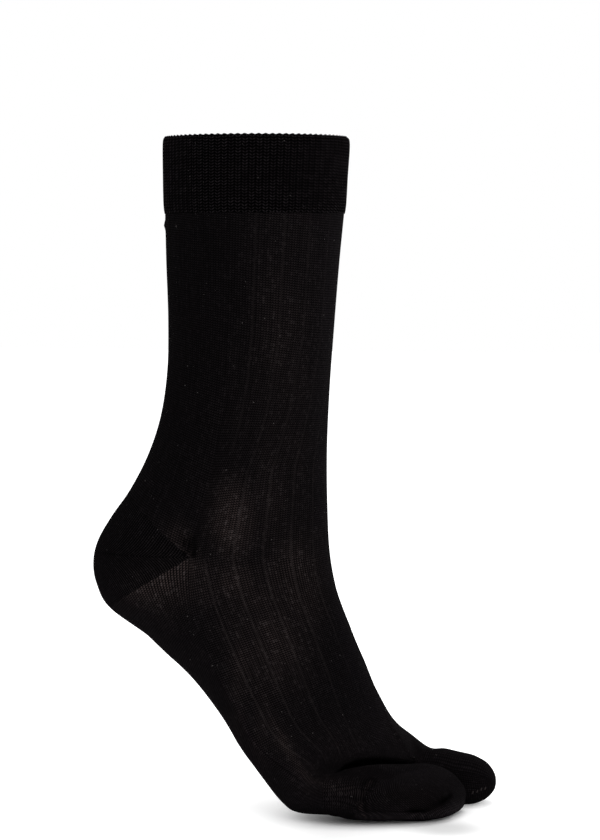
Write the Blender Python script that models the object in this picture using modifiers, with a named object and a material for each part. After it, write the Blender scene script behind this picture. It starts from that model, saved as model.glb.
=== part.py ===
"""Tabi sock for a right foot, held up by its wearer on the ball and toes of the foot.

Metres, +Z up, +X towards the toes, +Y towards the big toe. The origin is the centre of the leg
opening. The sock is a thin knitted wall through sections: one row of a table for each section.
"""

import bmesh
import bpy
import numpy as np
from collections import namedtuple
from mathutils import Vector

MM = 0.001

# --- driving dimensions, in millimetres ------------------------------------------------------

FLOOR_Z = -318.3  # the surface that the ball and the toes stand on
WALL = 1.2  # knitted wall
WELT_WALL = 2.2  # the cuff is turned over, so it is two layers
SEAM = 0.3  # space between two neighbouring pieces
PULL_LIMIT = 0.4  # the share of the way to its neighbour that a ring may be moved for a seam
HEEL_BEHIND = 0.9  # the heel's ankle points stand this far behind those of the leg and the foot

AROUND = 48  # points round the leg and the foot
CUFF_RIBS = 84  # 1x1 rib: each rib is one raised and one sunk point
CUFF_DEPTH = 36.4  # top edge to the seam with the leg
RIB_HEIGHT = 0.45
SCALLOP = 0.45  # half the wave of the cuff's top edge

CLEFT_Y = 12.0  # where the toe pockets part
CLEFT_TOP = 2  # the ring's points where the cleft starts and ends
CLEFT_BOTTOM = 22
CLEFT_STEPS = 7  # faces across the wall of a pocket in the cleft

# A section is a loop through a front, a side and a back point of the side plane.
# outer and inner are its half widths; ridge moves its front point towards the big toe,
# skew sets its outer side back, as a slope in plan. A round or a sole of under 1 fills
# its front or its back half out towards a box.
Section = namedtuple(
    "Section",
    "front_x front_z side_x side_z back_x back_z outer inner ridge skew round sole",
    defaults=(0, 0, 1, 1),
)

CUFF = (
    Section(43.6, 0.0, 0.2, 0.0, -42.8, 0.0, 40.8, 40.8),
    Section(45.2, -3.5, 0.6, -3.5, -43.8, -3.5, 41.8, 41.8),
    Section(44.2, -20.0, 0.2, -20.0, -43.8, -20.0, 41.2, 41.2),
    Section(43.4, -CUFF_DEPTH, -0.1, -CUFF_DEPTH, -43.6, -CUFF_DEPTH, 40.6, 40.6),
)

LEG = (
    Section(42.5, -CUFF_DEPTH, -0.2, -CUFF_DEPTH, -42.8, -CUFF_DEPTH, 39.7, 39.7),
    Section(40.2, -60.0, -1.2, -59.0, -42.4, -59.0, 38.0, 38.0),
    Section(37.8, -90.0, -2.4, -88.0, -41.6, -86.0, 36.2, 36.2),
    Section(35.7, -120.0, -4.8, -117.0, -42.2, -110.0, 34.6, 34.6),
    Section(34.6, -148.0, -9.3, -147.0, -45.6, -132.0, 33.6, 33.6),
    Section(34.9, -174.0, -16.0, -175.0, -52.2, -151.0, 33.6, 33.6),
    Section(36.2, -197.3, -22.0, -197.3, -61.4, -168.0, 33.8, 33.8),
)

# The heel pocket turns about the ankle points: its rows share the side point.
HEEL = (
    Section(0, 0, -22.0, -197.3, -61.4, -168.0, 33.8, 33.8),
    Section(0, 0, -22.0, -197.3, -70.8, -181.0, 33.8, 33.8),
    Section(0, 0, -22.0, -197.3, -78.0, -193.0, 33.8, 33.8),
    Section(0, 0, -22.0, -197.3, -80.6, -203.5, 33.8, 33.8),
    Section(0, 0, -22.0, -197.3, -79.0, -214.5, 33.8, 33.8),
    Section(0, 0, -22.0, -197.3, -72.0, -226.5, 33.8, 33.8),
)

FOOT = (
    Section(36.2, -197.3, -22.0, -197.3, -72.0, -226.5, 33.8, 33.8),
    Section(39.6, -216.0, -21.0, -224.0, -50.4, -240.2, 33.4, 33.4, 1, 0, 1, 1),
    Section(45.0, -234.0, -12.0, -245.0, -29.2, -256.0, 34.0, 34.0, 3, 0, 1, 1),
    Section(51.8, -251.0, 1.0, -265.0, -10.2, -275.6, 35.6, 35.6, 5, 0.04, 1, 1),
    Section(58.4, -266.5, 18.0, -283.5, 6.2, -295.0, 38.4, 38.0, 8, 0.14, 0.9, 1),
    Section(64.0, -279.8, 42.4, -296.6, 26.0, -313.6, 41.8, 40.4, 11, 0.3, 0.52, 0.9),
    Section(70.6, -288.0, 65.8, -303.6, 44.8, -319.8, 44.2, 42.0, 15, 0.5, 0.32, 0.62),
)

# The section where the foot parts into the two pockets.
SPLIT_X = 77.0  # at the cleft
SPLIT_SKEW = 0.62
SPLIT_SIDE_AHEAD = 3.0  # its lower half lies this far ahead of its upper half
SPLIT_OUTER = 45.6
SPLIT_INNER = 42.4
SPLIT_SIDE_Z = -306.0
SPLIT_SOLE_Z = -319.2  # before the floor flattens it
SPLIT_TOP_ROUND = 0.35
SPLIT_SOLE_ROUND = 0.45
CREASE_OUTER_Z = -291.0  # bottom of the crease above the four toes, at the little toe
CREASE_Z = -294.4  # the same above the middle of the pocket
CREASE_CLEFT_Z = -298.4  # and at the cleft
BIG_TOE_ROOT_Z = -292.2
CREASE_PROFILE = (  # Y, and how high the section's top is there
    (-38.0, -15.0, CLEFT_Y, 20.0),
    (CREASE_OUTER_Z, CREASE_Z, CREASE_CLEFT_Z, BIG_TOE_ROOT_Z),
)

# Rings of a toe pocket. x is its place at the cleft, skew sets its outer side back,
# near and far are its limits in Y, top and bottom its limits in Z before the floor
# flattens it, and tilt lowers its top towards the cleft.
Ring = namedtuple("Ring", "x skew near far top bottom squareness tilt", defaults=(0,))

NECK = (0.4, 0.08, 0.08)  # the pocket runs straight for this share of the way to its first ring
SOLE_SQUARER = 0.5  # added to a ring's squareness below its middle
SKEW_POWER = 1.3  # over 1, a ring falls back faster nearer its outer side

TOE_OUTER = (
    Ring(84.0, 33.0, -46.0, 11.2, -292.4, -319.0, 2.9, 2.4),
    Ring(90.5, 31.0, -45.0, 10.9, -292.9, -319.0, 2.8, 2.4),
    Ring(96.0, 28.0, -41.4, 10.2, -295.4, -318.8, 2.6, 1.8),
    Ring(100.2, 21.0, -34.6, 8.6, -300.0, -318.5, 2.4, 0.8),
    Ring(102.6, 10.0, -25.0, 5.0, -304.8, -316.4, 2.4, 0.0),
)
TOE_OUTER_TIP = (102.4, -8.5, -310.4)

TOE_BIG = (
    Ring(85.5, 0.0, 13.2, 42.0, -293.0, -319.4, 2.3),
    Ring(93.5, 0.0, 13.8, 41.2, -295.0, -319.4, 2.3),
    Ring(101.5, 0.0, 15.0, 39.6, -297.4, -318.6, 2.2),
    Ring(107.6, 0.0, 18.0, 37.0, -300.6, -316.0, 2.1),
    Ring(111.0, 0.0, 22.6, 32.6, -304.6, -312.0, 2.0),
)
TOE_BIG_TIP = (111.8, 27.6, -308.2)

LEG_STEPS = 2  # rings from one row of the table to the next
HEEL_STEPS = 2
FOOT_STEPS = 2

BLACK_YARN = (0.006, 0.005, 0.006, 1.0)
BLACK_YARN_SHEER = (0.010, 0.008, 0.008, 1.0)
ROUGHNESS = 0.85

# --- sections and rings ----------------------------------------------------------------------


def between(rows, steps, before=None, after=None):
    """Sections on a smooth curve through the rows of a table, the rows included.

    before and after are the sections past its ends, where the cloth goes on.
    """
    table = np.array(rows, float)
    first = 2 * table[0] - table[1] if before is None else np.array(before, float)
    last = 2 * table[-1] - table[-2] if after is None else np.array(after, float)
    padded = np.vstack([first, table, last])
    found = []
    for i in range(len(table) - 1):
        ahead_of, start, end, beyond = padded[i : i + 4]
        for step in range(steps):
            t = step / steps
            leave, arrive = (end - ahead_of) / 2, (beyond - start) / 2
            found.append(
                start * (1 + 2 * t) * (1 - t) ** 2
                + leave * t * (1 - t) ** 2
                + end * (3 - 2 * t) * t**2
                + arrive * (t - 1) * t**2
            )
    found.append(table[-1])
    return [Section(*row) for row in found]


def with_back_of(section, other):
    """A section with the back point of another one."""
    return section._replace(back_x=other.back_x, back_z=other.back_z)


def loop_point(section, turn):
    """The point of a section at a turn of 0 at the front, rising towards the big toe's side."""
    cosine, sine = np.cos(turn), np.sin(turn)
    end_x, end_z = (
        (section.front_x, section.front_z)
        if cosine > 0
        else (section.back_x, section.back_z)
    )
    share = abs(cosine) ** (section.round if cosine > 0 else section.sole)
    x = section.side_x + (end_x - section.side_x) * share
    z = section.side_z + (end_z - section.side_z) * share
    y = sine * (section.inner if sine > 0 else section.outer)
    y += section.ridge * max(cosine, 0) ** 2
    x += section.skew * (min(y, CLEFT_Y) - CLEFT_Y)
    return np.array([x, y, max(z, FLOOR_Z)])


def whole_ring(section, count=AROUND):
    return np.array([loop_point(section, 2 * np.pi * k / count) for k in range(count)])


def back_half_ring(section):
    """From one ankle point round the back to the other."""
    quarter = AROUND // 4
    turns = 2 * np.pi * np.arange(quarter, 3 * quarter + 1) / AROUND
    return np.array([loop_point(section, turn) for turn in turns])


def split_ring():
    """The loop where the foot ends and the two pockets start."""
    points = []
    for k in range(AROUND):
        turn = 2 * np.pi * k / AROUND
        cosine, sine = np.cos(turn), np.sin(turn)
        y = sine * (SPLIT_INNER if sine > 0 else SPLIT_OUTER)
        top = np.interp(y, *CREASE_PROFILE)
        limit = top if cosine > 0 else SPLIT_SOLE_Z
        power = SPLIT_TOP_ROUND if cosine > 0 else SPLIT_SOLE_ROUND
        z = SPLIT_SIDE_Z + (limit - SPLIT_SIDE_Z) * abs(cosine) ** power
        ahead = SPLIT_SIDE_AHEAD * (1 - max(cosine, 0))
        x = SPLIT_X + ahead + SPLIT_SKEW * (min(y, CLEFT_Y) - CLEFT_Y)
        points.append([x, y, max(z, FLOOR_Z)])
    return np.array(points)


def toe_base(split, first, last, side):
    """A pocket's first ring: its share of the split ring, closed by a straight cleft wall."""
    share = [split[k % AROUND] for k in range(first, last + 1)]
    end, start = share[-1], share[0]
    wall = [
        end + (start - end) * step / CLEFT_STEPS for step in range(1, CLEFT_STEPS)
    ]
    base = np.array(share + wall)
    edge = CLEFT_Y + side * SEAM / 2
    base[:, 1] = np.maximum(base[:, 1], edge) if side > 0 else np.minimum(base[:, 1], edge)
    return base


def toe_ring(ring, base):
    """A rounded ring of a pocket, its points at the angles of the base ring's points."""
    middle_y, half_y = (ring.near + ring.far) / 2, (ring.far - ring.near) / 2
    middle_z, half_z = (ring.top + ring.bottom) / 2, (ring.top - ring.bottom) / 2
    low, high = base.min(0), base.max(0)
    across = (base[:, 1] - (low[1] + high[1]) / 2) / (high[1] - low[1])
    upward = (base[:, 2] - (low[2] + high[2]) / 2) / (high[2] - low[2])
    angle = np.arctan2(upward, across)
    n = ring.squareness + np.where(upward < 0, SOLE_SQUARER, 0)
    reach = (np.abs(np.cos(angle)) ** n + np.abs(np.sin(angle)) ** n) ** (-1 / n)
    y = middle_y + half_y * reach * np.cos(angle)
    z = middle_z + half_z * reach * np.sin(angle)
    z -= ring.tilt * (y - middle_y) / half_y * np.clip(np.sin(angle), 0, 1)
    outward = np.clip((CLEFT_Y - y) / (CLEFT_Y + SPLIT_OUTER), 0, 1)
    x = ring.x - ring.skew * outward**SKEW_POWER
    return np.stack([x, y, np.maximum(z, FLOOR_Z)], axis=1)


def pulled_in(ring, towards, distance):
    """A ring moved this far towards its neighbour, or less where the two nearly meet."""
    step = towards - ring
    length = np.linalg.norm(step, axis=1, keepdims=True)
    share = np.minimum(distance / np.maximum(length, 1e-6), PULL_LIMIT)
    return ring + step * share


# --- meshes ----------------------------------------------------------------------------------


def skin(name, rings, closed=True, tip=None, pivots=False):
    """An open surface lofted through rings, with an optional point that closes its end.

    With pivots the first and last points of all rings are one point each.
    """
    mesh = bmesh.new()
    count = len(rings[0])
    rows = []
    for ring in rings:
        row = [mesh.verts.new(point * MM) for point in ring]
        if pivots and rows:
            for end in (0, -1):
                mesh.verts.remove(row[end])
                row[end] = rows[0][end]
        rows.append(row)
    for upper, lower in zip(rows, rows[1:]):
        for k in range(count if closed else count - 1):
            n = (k + 1) % count
            corners = [upper[k], upper[n], lower[n], lower[k]]
            mesh.faces.new(list(dict.fromkeys(corners)))
    if tip is not None:
        end = mesh.verts.new(np.array(tip) * MM)
        for k in range(count):
            mesh.faces.new([rows[-1][k], rows[-1][(k + 1) % count], end])
    bmesh.ops.recalc_face_normals(mesh, faces=mesh.faces)
    data = bpy.data.meshes.new(name)
    mesh.to_mesh(data)
    mesh.free()
    data.shade_smooth()
    return data


def point_out(data):
    """Turns the faces of an open surface so that they point away from its middle."""
    mesh = bmesh.new()
    mesh.from_mesh(data)
    middle = sum((f.calc_center_median() for f in mesh.faces), Vector())
    middle /= len(mesh.faces)
    outward = sum(
        (f.calc_center_median() - middle).dot(f.normal) * f.calc_area() for f in mesh.faces
    )
    if outward < 0:
        bmesh.ops.reverse_faces(mesh, faces=mesh.faces)
    mesh.to_mesh(data)
    mesh.free()


def yarn(name, colour):
    material = bpy.data.materials.new(name)
    material.use_nodes = True
    shader = material.node_tree.nodes["Principled BSDF"]
    shader.inputs["Base Color"].default_value = colour
    shader.inputs["Roughness"].default_value = ROUGHNESS
    shader.inputs["Metallic"].default_value = 0.0
    material.diffuse_color = colour
    return material


def piece(name, data, wall, material, collection):
    """A named piece of cloth: the surface is its outer face, and the wall grows inward."""
    point_out(data)
    data.materials.append(material)
    obj = bpy.data.objects.new(name, data)
    collection.objects.link(obj)
    solid = obj.modifiers.new("wall", "SOLIDIFY")
    solid.thickness = wall * MM
    solid.offset = -1.0
    solid.use_rim = True
    return obj


def make_cuff(collection, material):
    count = 2 * CUFF_RIBS
    smooth = [whole_ring(section, count) for section in CUFF]
    high = np.arange(count) % 2 == 0
    rings = []
    for index, ring in enumerate(smooth):
        outward = ring * [1, 1, 0]
        outward /= np.linalg.norm(outward, axis=1, keepdims=True)
        raised = ring - outward * (RIB_HEIGHT * ~high)[:, None]
        if index == 0:
            raised[:, 2] += np.where(high, SCALLOP, -SCALLOP) - SCALLOP
        rings.append(raised)
    rings[-1] = pulled_in(rings[-1], rings[-2], SEAM / 2)
    piece("cuff", skin("cuff", rings), WELT_WALL, material, collection)


def make_leg(collection, material):
    after = with_back_of(FOOT[1], HEEL[1])
    rings = [whole_ring(section) for section in between(LEG, LEG_STEPS, after=after)]
    rings[0] = pulled_in(rings[0], rings[1], SEAM / 2)
    rings[-1] = pulled_in(rings[-1], rings[-2], SEAM / 2)
    piece("leg", skin("leg", rings), WALL, material, collection)


def make_heel(collection, material):
    before, after = with_back_of(HEEL[0], LEG[-2]), with_back_of(HEEL[0], FOOT[1])
    rings = [
        back_half_ring(section) for section in between(HEEL, HEEL_STEPS, before, after)
    ]
    for ring in rings:
        ring[[0, -1], 0] -= HEEL_BEHIND
    rings[0] = pulled_in(rings[0], rings[1], SEAM)
    rings[-1] = pulled_in(rings[-1], rings[-2], SEAM)
    data = skin("heel", rings, closed=False, pivots=True)
    piece("heel", data, WALL, material, collection)


def make_foot(collection, material, split):
    before = with_back_of(LEG[-2], HEEL[-2])
    rings = [whole_ring(section) for section in between(FOOT, FOOT_STEPS, before)]
    rings.append((rings[-1] + split) / 2)
    rings.append(split)
    rings[0] = pulled_in(rings[0], rings[1], SEAM / 2)
    rings[-1] = pulled_in(rings[-1], rings[-2], SEAM)
    piece("foot", skin("foot", rings), WALL, material, collection)


def make_toe(name, base, table, tip, collection, material):
    rings = [toe_ring(ring, base) for ring in table]
    neck = base + (rings[0] - base) * NECK
    rings = [pulled_in(base, neck, SEAM), neck, *rings]
    piece(name, skin(name, rings, tip=tip), WALL, material, collection)


def main():
    for obj in list(bpy.data.objects):
        bpy.data.objects.remove(obj, do_unlink=True)
    collection = bpy.data.collections.new("tabi_sock")
    bpy.context.scene.collection.children.link(collection)
    dense = yarn("black_yarn", BLACK_YARN)
    sheer = yarn("black_yarn_sheer", BLACK_YARN_SHEER)
    split = split_ring()
    make_cuff(collection, dense)
    make_leg(collection, sheer)
    make_heel(collection, dense)
    make_foot(collection, sheer, split)
    big = toe_base(split, CLEFT_TOP, CLEFT_BOTTOM, 1)
    outer = toe_base(split, CLEFT_BOTTOM, AROUND + CLEFT_TOP, -1)
    make_toe("toe_big", big, TOE_BIG, TOE_BIG_TIP, collection, dense)
    make_toe("toe_outer", outer, TOE_OUTER, TOE_OUTER_TIP, collection, dense)


main()
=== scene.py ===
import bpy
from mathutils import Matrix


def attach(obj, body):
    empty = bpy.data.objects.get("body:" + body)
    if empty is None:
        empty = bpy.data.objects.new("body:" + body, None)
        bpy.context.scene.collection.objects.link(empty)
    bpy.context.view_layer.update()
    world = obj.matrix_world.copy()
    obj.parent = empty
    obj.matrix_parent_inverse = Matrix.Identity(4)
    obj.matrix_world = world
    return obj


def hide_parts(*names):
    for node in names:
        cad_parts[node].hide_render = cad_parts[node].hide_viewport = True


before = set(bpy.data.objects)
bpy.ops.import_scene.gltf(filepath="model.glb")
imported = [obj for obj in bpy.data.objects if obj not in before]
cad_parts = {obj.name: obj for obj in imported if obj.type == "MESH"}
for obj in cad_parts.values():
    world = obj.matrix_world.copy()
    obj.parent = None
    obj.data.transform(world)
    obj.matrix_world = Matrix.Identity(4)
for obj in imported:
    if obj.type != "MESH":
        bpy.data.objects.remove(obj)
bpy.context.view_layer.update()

from collections import namedtuple

import bpy
import numpy as np
from mathutils import Vector

MM = 0.001

# ---- camera, light and floor ----

AZIMUTH, ELEVATION = np.radians(15.0), np.radians(3.44)
TARGET = Vector((0.02067, 0.00554, -0.1344))
DISTANCE = 1.31
SENSOR_WIDTH, LENS = 36.0, 117.86
RIGHT = np.array([np.cos(AZIMUTH), np.sin(AZIMUTH), 0])  # the picture's right, on the floor
FLOOR_Z, FLOOR_HALF = -318.3, 6000.0  # mm, its height and half its width

scene = bpy.context.scene
scene.view_settings.view_transform = "Standard"


def placed(name, data):
    """A new object in the scene."""
    made = bpy.data.objects.new(name, data)
    scene.collection.objects.link(made)
    return made


def new_mesh(name, points, faces, material):
    """A mesh from points in mm."""
    mesh = bpy.data.meshes.new(name)
    mesh.from_pydata((points * MM).tolist(), [], faces)
    mesh.materials.append(material)
    return mesh


camera_data = bpy.data.cameras.new("camera")
camera_data.sensor_width = SENSOR_WIDTH
camera_data.lens = LENS
camera = placed("camera", camera_data)
towards = Vector((
    np.sin(AZIMUTH) * np.cos(ELEVATION),
    -np.cos(AZIMUTH) * np.cos(ELEVATION),
    np.sin(ELEVATION),
))
camera.location = TARGET + towards * DISTANCE
camera.rotation_euler = towards.to_track_quat("Z", "Y").to_euler()
scene.camera = camera

world = bpy.data.worlds.new("studio")
scene.world = world
world.use_nodes = True
background = world.node_tree.nodes["Background"]
background.inputs["Color"].default_value = (1, 1, 1, 1)
background.inputs["Strength"].default_value = 1.0


def area_light(name, place, aim, size, power):
    data = bpy.data.lights.new(name, "AREA")
    data.shape = "DISK"
    data.size = size
    data.energy = power
    lamp = placed(name, data)
    lamp.location = Vector(place)
    lamp.rotation_euler = (Vector(place) - Vector(aim)).to_track_quat("Z", "Y").to_euler()


area_light("key", place=(0.45, -1.1, 0.55), aim=(0.0, 0.0, -0.2), size=1.0, power=2.6)
area_light("back", place=(0.10, 0.36, 0.95), aim=(0.05, 0.0, -0.3), size=0.6, power=4.0)
area_light("edge", place=(0.55, 0.85, -0.12), aim=(0.0, 0.0, -0.15), size=0.5, power=6.5)

# ---- the sock's sections, as in the part's source ----

CUFF_RIBS = 84
CUFF_DEPTH = 36.4
CLEFT_Y = 12.0
COARSE = 48  # points round the source's rings
CLEFT_TOP = 2  # of them, where the cleft between the toes starts
CLEFT_BOTTOM = 22  # and where it ends
CLEFT_STEPS = 7  # from its bottom up to its top
FINE = 4  # points here for each of the source's
AROUND = COARSE * FINE
WALES = 195  # wales round the leg and the foot
LADDER_EVERY = 10  # wales from one ladder line to the next

Section = namedtuple(
    "Section",
    "front_x front_z side_x side_z back_x back_z outer inner ridge skew round sole",
    defaults=(0, 0, 1, 1),
)

CUFF = (
    Section(43.6, 0.0, 0.2, 0.0, -42.8, 0.0, 40.8, 40.8),
    Section(45.2, -3.5, 0.6, -3.5, -43.8, -3.5, 41.8, 41.8),
    Section(44.2, -20.0, 0.2, -20.0, -43.8, -20.0, 41.2, 41.2),
    Section(43.4, -CUFF_DEPTH, -0.1, -CUFF_DEPTH, -43.6, -CUFF_DEPTH, 40.6, 40.6),
)
LEG = (
    Section(42.5, -CUFF_DEPTH, -0.2, -CUFF_DEPTH, -42.8, -CUFF_DEPTH, 39.7, 39.7),
    Section(40.2, -60.0, -1.2, -59.0, -42.4, -59.0, 38.0, 38.0),
    Section(37.8, -90.0, -2.4, -88.0, -41.6, -86.0, 36.2, 36.2),
    Section(35.7, -120.0, -4.8, -117.0, -42.2, -110.0, 34.6, 34.6),
    Section(34.6, -148.0, -9.3, -147.0, -45.6, -132.0, 33.6, 33.6),
    Section(34.9, -174.0, -16.0, -175.0, -52.2, -151.0, 33.6, 33.6),
    Section(36.2, -197.3, -22.0, -197.3, -61.4, -168.0, 33.8, 33.8),
)
HEEL_BACKS = (
    (-61.4, -168.0), (-70.8, -181.0), (-78.0, -193.0), (-80.6, -203.5), (-79.0, -214.5),
    (-72.0, -226.5),
)
HEEL = [Section(0, 0, -22.0, -197.3, x, z, 33.8, 33.8) for x, z in HEEL_BACKS]
FOOT = (
    Section(36.2, -197.3, -22.0, -197.3, -72.0, -226.5, 33.8, 33.8),
    Section(39.6, -216.0, -21.0, -224.0, -50.4, -240.2, 33.4, 33.4, 1, 0, 1, 1),
    Section(45.0, -234.0, -12.0, -245.0, -29.2, -256.0, 34.0, 34.0, 3, 0, 1, 1),
    Section(51.8, -251.0, 1.0, -265.0, -10.2, -275.6, 35.6, 35.6, 5, 0.04, 1, 1),
    Section(58.4, -266.5, 18.0, -283.5, 6.2, -295.0, 38.4, 38.0, 8, 0.14, 0.9, 1),
    Section(64.0, -279.8, 42.4, -296.6, 26.0, -313.6, 41.8, 40.4, 11, 0.3, 0.52, 0.9),
    Section(70.6, -288.0, 65.8, -303.6, 44.8, -319.8, 44.2, 42.0, 15, 0.5, 0.32, 0.62),
)

SPLIT_X = 77.0  # at the cleft
SPLIT_SKEW = 0.62  # how much further back it is for each mm outwards
SPLIT_SIDE_AHEAD = 3.0
SPLIT_OUTER, SPLIT_INNER = 45.6, 42.4
SPLIT_SIDE_Z, SPLIT_SOLE_Z = -306.0, -319.2
SPLIT_TOP_ROUND, SPLIT_SOLE_ROUND = 0.35, 0.45
CREASE_PROFILE = ((-38.0, -15.0, CLEFT_Y, 20.0), (-291.0, -294.4, -298.4, -292.2))

Ring = namedtuple("Ring", "x skew near far top bottom squareness tilt", defaults=(0,))
NECK = (0.4, 0.08, 0.08)  # how far along x, y and z a pocket's neck is on its way to the first ring
SOLE_SQUARER = 0.5
BACK_POWER = 1.3  # how a skewed ring curves back towards the outer side
TOE_OUTER = (
    Ring(84.0, 33.0, -46.0, 11.2, -292.4, -319.0, 2.9, 2.4),
    Ring(90.5, 31.0, -45.0, 10.9, -292.9, -319.0, 2.8, 2.4),
    Ring(96.0, 28.0, -41.4, 10.2, -295.4, -318.8, 2.6, 1.8),
    Ring(100.2, 21.0, -34.6, 8.6, -300.0, -318.5, 2.4, 0.8),
    Ring(102.6, 10.0, -25.0, 5.0, -304.8, -316.4, 2.4, 0.0),
)
TOE_OUTER_TIP = (102.4, -8.5, -310.4)
TOE_BIG = (
    Ring(85.5, 0.0, 13.2, 42.0, -293.0, -319.4, 2.3),
    Ring(93.5, 0.0, 13.8, 41.2, -295.0, -319.4, 2.3),
    Ring(101.5, 0.0, 15.0, 39.6, -297.4, -318.6, 2.2),
    Ring(107.6, 0.0, 18.0, 37.0, -300.6, -316.0, 2.1),
    Ring(111.0, 0.0, 22.6, 32.6, -304.6, -312.0, 2.0),
)
TOE_BIG_TIP = (111.8, 27.6, -308.2)


# ---- curves and rings ----


def curve(start, leave, end, arrive, t):
    """A point at share t of the smooth curve from start to end, which has the given slopes."""
    return (
        start * (1 + 2 * t) * (1 - t) ** 2
        + leave * t * (1 - t) ** 2
        + end * (3 - 2 * t) * t**2
        + arrive * (t - 1) * t**2
    )


def between(rows, steps, before=None, after=None):
    """Sections on a smooth curve through the rows of a table, the rows included."""
    table = np.array(rows, float)
    first = 2 * table[0] - table[1] if before is None else before
    last = 2 * table[-1] - table[-2] if after is None else after
    padded = np.vstack([first, table, last])
    found = []
    for i in range(len(table) - 1):
        ahead_of, start, end, beyond = padded[i : i + 4]
        leave, arrive = (end - ahead_of) / 2, (beyond - start) / 2
        found += [curve(start, leave, end, arrive, step / steps) for step in range(steps)]
    found.append(table[-1])
    return [Section(*row) for row in found]


def with_back_of(section, other):
    return section._replace(back_x=other.back_x, back_z=other.back_z)


def ring_of(section, turns):
    """The points of a section at some turns: 0 at the front, rising to the big toe's side."""
    cosine, sine = np.cos(turns), np.sin(turns)
    front = cosine > 0
    end_x = np.where(front, section.front_x, section.back_x)
    end_z = np.where(front, section.front_z, section.back_z)
    share = np.abs(cosine) ** np.where(front, section.round, section.sole)
    x = section.side_x + (end_x - section.side_x) * share
    z = section.side_z + (end_z - section.side_z) * share
    y = sine * np.where(sine > 0, section.inner, section.outer)
    y = y + section.ridge * np.maximum(cosine, 0) ** 2
    x = x + section.skew * (np.minimum(y, CLEFT_Y) - CLEFT_Y)
    return np.stack([x, y, np.maximum(z, FLOOR_Z)], axis=1)


def split_ring():
    """The loop where the foot parts into its two pockets; turn 0 first."""
    turns = 2 * np.pi * np.arange(AROUND) / AROUND
    cosine, sine = np.cos(turns), np.sin(turns)
    y = sine * np.where(sine > 0, SPLIT_INNER, SPLIT_OUTER)
    top = np.interp(y, *CREASE_PROFILE)
    limit = np.where(cosine > 0, top, SPLIT_SOLE_Z)
    power = np.where(cosine > 0, SPLIT_TOP_ROUND, SPLIT_SOLE_ROUND)
    z = SPLIT_SIDE_Z + (limit - SPLIT_SIDE_Z) * np.abs(cosine) ** power
    ahead = SPLIT_SIDE_AHEAD * (1 - np.maximum(cosine, 0))
    x = SPLIT_X + ahead + SPLIT_SKEW * (np.minimum(y, CLEFT_Y) - CLEFT_Y)
    return np.stack([x, y, np.maximum(z, FLOOR_Z)], axis=1)


def toe_ring(ring, base):
    """A ring of a toe pocket, its points at the same angles as those of base."""
    middle_y, half_y = (ring.near + ring.far) / 2, (ring.far - ring.near) / 2
    middle_z, half_z = (ring.top + ring.bottom) / 2, (ring.top - ring.bottom) / 2
    low, high = base.min(0), base.max(0)
    across = (base[:, 1] - (low[1] + high[1]) / 2) / (high[1] - low[1])
    upward = (base[:, 2] - (low[2] + high[2]) / 2) / (high[2] - low[2])
    angle = np.arctan2(upward, across)
    n = ring.squareness + np.where(upward < 0, SOLE_SQUARER, 0)
    reach = (np.abs(np.cos(angle)) ** n + np.abs(np.sin(angle)) ** n) ** (-1 / n)
    y = middle_y + half_y * reach * np.cos(angle)
    z = middle_z + half_z * reach * np.sin(angle)
    z -= ring.tilt * (y - middle_y) / half_y * np.clip(np.sin(angle), 0, 1)
    outward = np.clip((CLEFT_Y - y) / (CLEFT_Y + SPLIT_OUTER), 0, 1)
    x = ring.x - ring.skew * outward**BACK_POWER
    return np.stack([x, y, np.maximum(z, FLOOR_Z)], axis=1)


def resample(rows, counts):
    """Rings on smooth curves through the given rings, counts[i] steps from ring i to the next."""
    rows = np.array(rows)
    spans = np.linalg.norm(np.diff(rows, axis=0), axis=2).mean(1)
    steps = np.diff(rows, axis=0)
    inner = [(steps[i] / a * b + steps[i + 1] / b * a) / (a + b)
             for i, (a, b) in enumerate(zip(spans[:-1], spans[1:]))]
    slopes = [steps[0] / spans[0], *inner, steps[-1] / spans[-1]]
    found = []
    for i in range(len(rows) - 1):
        leave, arrive = slopes[i] * spans[i], slopes[i + 1] * spans[i]
        found += [curve(rows[i], leave, rows[i + 1], arrive, step / counts[i])
                  for step in range(counts[i])]
    found.append(rows[-1])
    return np.array(found)


def ramp(value, start, end):
    """0 at start and before it, 1 at end and beyond, straight between."""
    return np.clip((value - start) / (end - start), 0, 1)


def fade(distance, reach):
    """1 where distance is 0, about a third at reach and nothing at twice that."""
    return np.exp(-((distance / reach) ** 2))


# ---- shells ----


def outward_of(grid, closed):
    """Unit normals of a grid of points, rows going down the piece and columns round it."""
    down = np.gradient(grid, axis=0)
    if closed:
        around = (np.roll(grid, -1, 1) - np.roll(grid, 1, 1)) / 2
    else:
        around = np.gradient(grid, axis=1)
    normal = np.cross(down, around)
    length = np.linalg.norm(normal, axis=2, keepdims=True)
    good = length[..., 0] > 1e-9
    normal = normal / np.maximum(length, 1e-12)
    if not good.all():
        # a fan's pivot takes its neighbours' normal
        filled = normal[good].mean(0)
        for i, k in zip(*np.where(~good)):
            near = [j for j in (k - 1, k + 1) if 0 <= j < grid.shape[1] and good[i, j]]
            normal[i, k] = normal[i, near].mean(0) if near else filled
        normal /= np.linalg.norm(normal, axis=2, keepdims=True)
    return normal


def cloth_object(name, points, faces, uv, marks, material):
    """A piece from points in mm, with its knit coordinates and its marks."""
    mesh = new_mesh(name, points, faces, material)
    layer = mesh.uv_layers.new(name="knit")
    flat = np.array([value for at in uv for pair in at for value in pair], dtype=np.float32)
    layer.data.foreach_set("uv", flat)
    for mark, values in marks.items():
        attribute = mesh.attributes.new(mark, "FLOAT", "POINT")
        attribute.data.foreach_set("value", values.astype(np.float32))
    mesh.shade_smooth()
    mesh.set_sharp_from_angle(angle=np.radians(60))
    mesh.validate(clean_customdata=False)
    mesh.update()
    return placed(name, mesh)


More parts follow.
